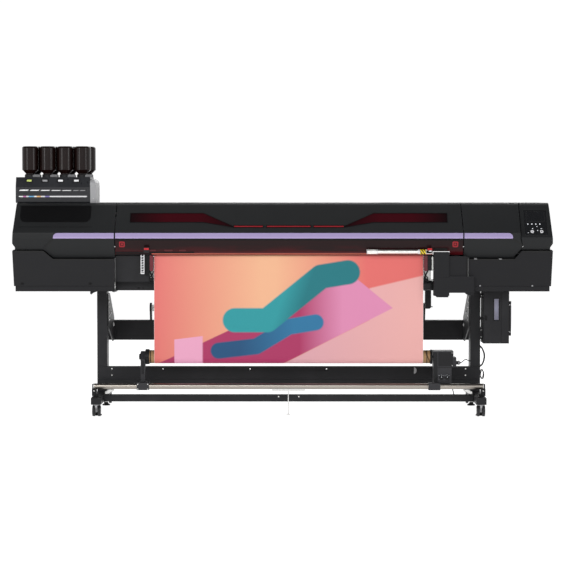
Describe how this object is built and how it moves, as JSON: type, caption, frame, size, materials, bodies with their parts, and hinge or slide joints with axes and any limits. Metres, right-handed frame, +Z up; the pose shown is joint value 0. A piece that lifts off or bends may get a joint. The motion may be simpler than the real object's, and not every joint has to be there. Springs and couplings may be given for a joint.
{
  "type": "roll-fed wide-format printer",
  "caption": "Wide-format roll printer on a stand, with lifting covers, travelling carriage, ink bottles, supply roll and powered take-up.",
  "frame": {"origin": "on the floor, under the middle of the bounding box", "axes": "+X to the operator's right when facing the front, +Y to the back, +Z up"},
  "size_m": [3.2, 0.95, 1.593],
  "materials": {
    "black_paint": "powder coat, satin",
    "charcoal_cover": "fine texture, satin",
    "bright_steel": "drawn, satin",
    "rail_aluminium": "anodised",
    "roller_grey": "gritted",
    "black_rubber": "matte",
    "panel_gloss": "gloss",
    "bar_silver": "satin",
    "dark_plastic": "satin",
    "grey_plastic": "satin",
    "bottle_brown": "gloss",
    "cable_jacket": "satin",
    "printed_media": "satin print",
    "white_media": "matte",
    "cardboard": "matte",
    "smoked_window": "smoked, gloss",
    "wheel_rubber": "satin",
    "button_white": "satin"
  },
  "bodies": {
    "frame": {"left_leg": "black_paint", "right_leg": "black_paint", "left_gusset": "black_paint", "right_gusset": "black_paint", "rear_beam": "black_paint", "lower_crossbeam": "black_paint", "tie_beam": "black_paint", "support_tube": "bright_steel", "tube_clamps": "black_paint", "tube_prop": "bright_steel", "stand_bolts": "bright_steel", "chassis_beam": "black_paint", "side_frames": "black_paint", "left_lower_cover": "charcoal_cover", "right_lower_cover": "charcoal_cover", "rear_cover": "charcoal_cover", "control_housing": "charcoal_cover", "display_panel": "panel_gloss", "exit_frame": "black_paint", "platen": "bright_steel", "carriage_rail": "rail_aluminium", "drive_cover": "charcoal_cover", "capping_station": "dark_plastic", "ink_station": "charcoal_cover", "ink_side_housing": "grey_plastic", "ink_bottles": "bottle_brown", "takeup_drive": "dark_plastic", "held_cables": "cable_jacket", "waste_cabinet": "black_paint", "media_sheet": "printed_media", "supply_brackets": "black_paint"},
    "front_cover": {"front_cover": "charcoal_cover", "front_windows": "smoked_window", "static_bar": "bar_silver"},
    "left_service_cover": {"left_service_cover": "charcoal_cover"},
    "right_service_cover": {"right_service_cover": "charcoal_cover"},
    "carriage": {"carriage": "dark_plastic"},
    "feed_roller": {"feed_roller": "roller_grey"},
    "pinch_rollers": {"pinch_rollers": "black_rubber"},
    "takeup_core": {"takeup_core": "cardboard", "core_chucks": "dark_plastic"},
    "takeup_arm": {"takeup_arm": "black_paint"},
    "supply_roll": {"supply_roll": "white_media"},
    "waste_door": {"waste_door": "black_paint"},
    "wind_knob": {"wind_knob": "dark_plastic"},
    "direction_knob": {"direction_knob": "dark_plastic"},
    "enter_button": {"enter_button": "button_white"},
    "stop_button": {"stop_button": "button_white"},
    "caster_fork_fl": {"caster_fork_fl": "black_paint"},
    "caster_wheels_fl": {"caster_wheels_fl": "wheel_rubber"},
    "levelling_foot_fl": {"levelling_foot_fl": "black_paint"},
    "caster_fork_fr": {"caster_fork_fr": "black_paint"},
    "caster_wheels_fr": {"caster_wheels_fr": "wheel_rubber"},
    "levelling_foot_fr": {"levelling_foot_fr": "black_paint"},
    "caster_fork_rl": {"caster_fork_rl": "black_paint"},
    "caster_wheels_rl": {"caster_wheels_rl": "wheel_rubber"},
    "levelling_foot_rl": {"levelling_foot_rl": "black_paint"},
    "caster_fork_rr": {"caster_fork_rr": "black_paint"},
    "caster_wheels_rr": {"caster_wheels_rr": "wheel_rubber"},
    "levelling_foot_rr": {"levelling_foot_rr": "black_paint"}
  },
  "joints": [
    {"name": "front_cover_lift", "type": "hinge", "parent": "frame", "child": "front_cover", "pos_m": [0.037, 0.057, 1.243], "axis": [-1, 0, 0], "range_deg": [0, 65]},
    {"name": "left_service_lift", "type": "hinge", "parent": "frame", "child": "left_service_cover", "pos_m": [-1.285, -0.165, 1.243], "axis": [-1, 0, 0], "range_deg": [0, 75]},
    {"name": "right_service_lift", "type": "hinge", "parent": "frame", "child": "right_service_cover", "pos_m": [1.242, -0.165, 1.243], "axis": [-1, 0, 0], "range_deg": [0, 75]},
    {"name": "carriage_travel", "type": "slide", "parent": "frame", "child": "carriage", "axis": [-1, 0, 0], "range_m": [0, 2.4]},
    {"name": "feed_spin", "type": "hinge", "parent": "frame", "child": "feed_roller", "pos_m": [0.037, 0.008, 0.932], "axis": [1, 0, 0], "continuous": true},
    {"name": "pinch_spin", "type": "hinge", "parent": "frame", "child": "pinch_rollers", "pos_m": [0.037, 0.008, 0.958], "axis": [1, 0, 0], "continuous": true},
    {"name": "takeup_spin", "type": "hinge", "parent": "frame", "child": "takeup_core", "pos_m": [0.037, -0.24, 0.338], "axis": [1, 0, 0], "continuous": true},
    {"name": "takeup_arm_slide", "type": "slide", "parent": "frame", "child": "takeup_arm", "axis": [-1, 0, 0], "range_m": [0, 0.12]},
    {"name": "supply_spin", "type": "hinge", "parent": "frame", "child": "supply_roll", "pos_m": [0.037, 0.41, 0.592], "axis": [1, 0, 0], "continuous": true},
    {"name": "waste_door_swing", "type": "hinge", "parent": "frame", "child": "waste_door", "pos_m": [1.367, -0.155, 0.5615], "axis": [0, 0, 1], "range_deg": [0, 110]},
    {"name": "wind_turn", "type": "hinge", "parent": "frame", "child": "wind_knob", "pos_m": [0.943, -0.31, 0.219], "axis": [0, 1, 0], "range_deg": [-45, 45]},
    {"name": "direction_turn", "type": "hinge", "parent": "frame", "child": "direction_knob", "pos_m": [0.977, -0.31, 0.219], "axis": [0, 1, 0], "range_deg": [-45, 45]},
    {"name": "enter_press", "type": "slide", "parent": "frame", "child": "enter_button", "axis": [0, 0.8232, -0.5677], "range_m": [0, 0.002], "stiffness_N_per_m": 400},
    {"name": "stop_press", "type": "slide", "parent": "frame", "child": "stop_button", "axis": [0, 0.8232, -0.5677], "range_m": [0, 0.002], "stiffness_N_per_m": 400},
    {"name": "caster_swivel_fl", "type": "hinge", "parent": "frame", "child": "caster_fork_fl", "pos_m": [-1.093, -0.45, 0.072], "axis": [0, 0, 1], "continuous": true},
    {"name": "caster_roll_fl", "type": "hinge", "parent": "caster_fork_fl", "child": "caster_wheels_fl", "pos_m": [-1.093, -0.43, 0.0345], "axis": [1, 0, 0], "continuous": true},
    {"name": "levelling_fl", "type": "slide", "parent": "frame", "child": "levelling_foot_fl", "axis": [0, 0, 1], "range_m": [-0.015, 0]},
    {"name": "caster_swivel_fr", "type": "hinge", "parent": "frame", "child": "caster_fork_fr", "pos_m": [1.167, -0.45, 0.072], "axis": [0, 0, 1], "continuous": true},
    {"name": "caster_roll_fr", "type": "hinge", "parent": "caster_fork_fr", "child": "caster_wheels_fr", "pos_m": [1.167, -0.43, 0.0345], "axis": [1, 0, 0], "continuous": true},
    {"name": "levelling_fr", "type": "slide", "parent": "frame", "child": "levelling_foot_fr", "axis": [0, 0, 1], "range_m": [-0.015, 0]},
    {"name": "caster_swivel_rl", "type": "hinge", "parent": "frame", "child": "caster_fork_rl", "pos_m": [-1.093, 0.3, 0.072], "axis": [0, 0, 1], "continuous": true},
    {"name": "caster_roll_rl", "type": "hinge", "parent": "caster_fork_rl", "child": "caster_wheels_rl", "pos_m": [-1.093, 0.32, 0.0345], "axis": [1, 0, 0], "continuous": true},
    {"name": "levelling_rl", "type": "slide", "parent": "frame", "child": "levelling_foot_rl", "axis": [0, 0, 1], "range_m": [-0.015, 0]},
    {"name": "caster_swivel_rr", "type": "hinge", "parent": "frame", "child": "caster_fork_rr", "pos_m": [1.167, 0.3, 0.072], "axis": [0, 0, 1], "continuous": true},
    {"name": "caster_roll_rr", "type": "hinge", "parent": "caster_fork_rr", "child": "caster_wheels_rr", "pos_m": [1.167, 0.32, 0.0345], "axis": [1, 0, 0], "continuous": true},
    {"name": "levelling_rr", "type": "slide", "parent": "frame", "child": "levelling_foot_rr", "axis": [0, 0, 1], "range_m": [-0.015, 0]}
  ],
  "couplings": [
    {"joint": "pinch_spin", "follows": "feed_spin", "ratio": -1.6667}
  ]
}
